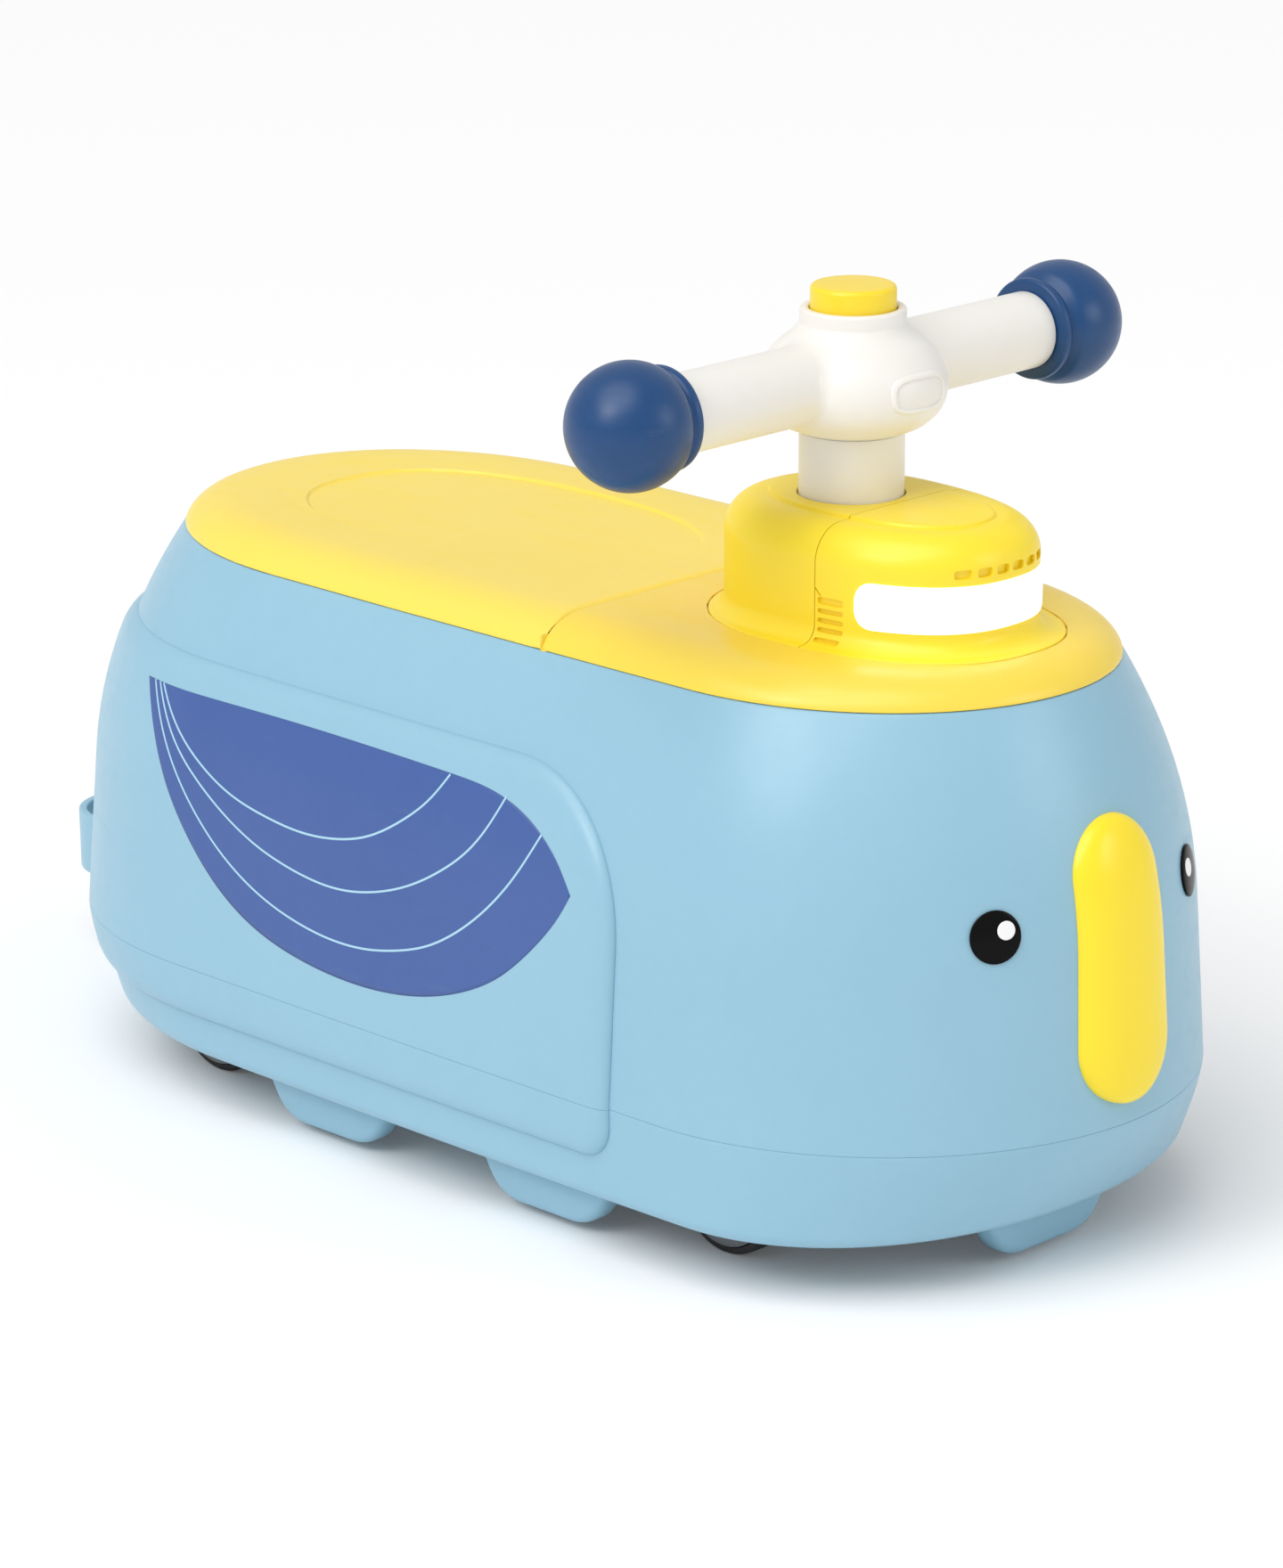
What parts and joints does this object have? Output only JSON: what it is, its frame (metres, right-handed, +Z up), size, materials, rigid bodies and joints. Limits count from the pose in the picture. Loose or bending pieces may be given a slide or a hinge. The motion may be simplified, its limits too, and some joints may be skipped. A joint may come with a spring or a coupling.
{
  "type": "toddler ride-on toy",
  "caption": "Rounded bird-shaped toddler ride-on with a ball-ended steering bar, horn button, wrap-round lamp, lift-up seat over a bin, small wheels and a rear tow loop.",
  "frame": {"origin": "on the floor under the middle of the bounding box", "axes": "+Z up, -Y towards the beak (front), +Y towards the tow loop, +X to the side"},
  "size_m": [0.3142, 0.6498, 0.3937],
  "materials": {
    "sky_plastic": "satin",
    "yellow_plastic": "satin",
    "navy_plastic": "satin",
    "ivory_plastic": "satin",
    "grey_plastic": "matte",
    "black_plastic": "gloss",
    "lens_plastic": "frosted",
    "tyre_rubber": "matte",
    "steel": "satin",
    "circuit_board": "matte"
  },
  "bodies": {
    "chassis": {"upper_shell": "sky_plastic", "lower_base": "sky_plastic", "storage_bin": "sky_plastic", "tow_loop": "sky_plastic", "foot_front_left": "sky_plastic", "foot_front_right": "sky_plastic", "foot_rear_left": "sky_plastic", "foot_rear_right": "sky_plastic", "front_foot": "sky_plastic", "rear_foot": "sky_plastic", "battery_door": "sky_plastic", "front_deck": "yellow_plastic", "housing_front": "yellow_plastic", "housing_rear": "yellow_plastic", "beak": "yellow_plastic", "upper_bush": "ivory_plastic", "lower_bush": "ivory_plastic", "battery_1": "grey_plastic", "battery_2": "grey_plastic", "battery_3": "grey_plastic", "eye_left": "black_plastic", "eye_right": "black_plastic", "battery_box": "black_plastic", "thrust_washer": "black_plastic", "light_lens": "lens_plastic", "rear_axle": "steel", "lid_pin_left": "steel", "lid_pin_right": "steel", "battery_door_screw": "steel", "base_screw_1": "steel", "base_screw_2": "steel", "base_screw_3": "steel", "base_screw_4": "steel", "light_board": "circuit_board"},
    "steering": {"steering_column": "ivory_plastic", "front_axle_carrier": "grey_plastic", "steering_bolt": "steel", "front_axle": "steel", "handlebar": "ivory_plastic", "grip_left": "navy_plastic", "grip_right": "navy_plastic", "horn_board": "circuit_board", "horn_speaker": "black_plastic", "horn_spring": "steel"},
    "button": {"horn_button": "yellow_plastic"},
    "lid": {"seat_lid": "yellow_plastic"},
    "wheel_front_left": {"wheel_hub_front_left": "grey_plastic", "tyre_front_left": "tyre_rubber"},
    "wheel_front_right": {"wheel_hub_front_right": "grey_plastic", "tyre_front_right": "tyre_rubber"},
    "wheel_rear_left": {"wheel_hub_rear_left": "grey_plastic", "tyre_rear_left": "tyre_rubber"},
    "wheel_rear_right": {"wheel_hub_rear_right": "grey_plastic", "tyre_rear_right": "tyre_rubber"}
  },
  "joints": [
    {"name": "steering_turn", "type": "hinge", "parent": "chassis", "child": "steering", "pos_m": [0, -0.162, 0.2], "axis": [0, 0, 1], "range_deg": [-35, 35]},
    {"name": "lid_hinge", "type": "hinge", "parent": "chassis", "child": "lid", "pos_m": [0, -0.0794, 0.251], "axis": [1, 0, 0], "range_deg": [0, 68]},
    {"name": "horn_press", "type": "slide", "parent": "steering", "child": "button", "axis": [0, 0, -1], "range_m": [0, 0.003], "stiffness_N_per_m": 400, "springref_m": -0.002, "deforming": ["horn_spring"]},
    {"name": "wheel_front_left_spin", "type": "hinge", "parent": "steering", "child": "wheel_front_left", "pos_m": [-0.085, -0.1825, 0.027], "axis": [1, 0, 0], "continuous": true},
    {"name": "wheel_front_right_spin", "type": "hinge", "parent": "steering", "child": "wheel_front_right", "pos_m": [0.085, -0.1825, 0.027], "axis": [1, 0, 0], "continuous": true},
    {"name": "wheel_rear_left_spin", "type": "hinge", "parent": "chassis", "child": "wheel_rear_left", "pos_m": [-0.085, 0.1335, 0.027], "axis": [1, 0, 0], "continuous": true},
    {"name": "wheel_rear_right_spin", "type": "hinge", "parent": "chassis", "child": "wheel_rear_right", "pos_m": [0.085, 0.1335, 0.027], "axis": [1, 0, 0], "continuous": true}
  ]
}
